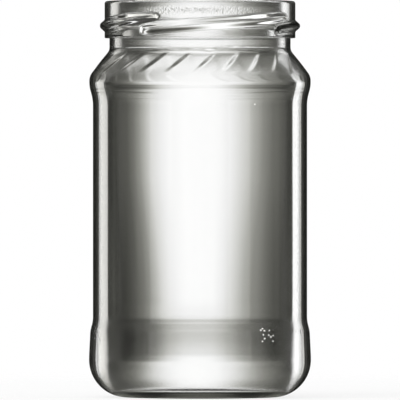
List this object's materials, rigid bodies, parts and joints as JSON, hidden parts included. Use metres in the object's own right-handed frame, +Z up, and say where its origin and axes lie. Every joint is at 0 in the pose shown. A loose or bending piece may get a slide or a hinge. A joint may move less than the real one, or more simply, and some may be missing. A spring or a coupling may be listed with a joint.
{
  "type": "glass jar",
  "caption": "Empty clear glass jar: round body, recessed label panel, slanted ridges on the shoulder, wide mouth with twist-off lugs.",
  "frame": {"origin": "centre of the ring the jar stands on", "axes": "+Z up through the mouth, -Y towards the front"},
  "size_m": [0.0732, 0.0732, 0.1306],
  "materials": {
    "glass": "clear, smooth"
  },
  "bodies": {
    "root": {"jar": "glass"}
  },
  "joints": []
}
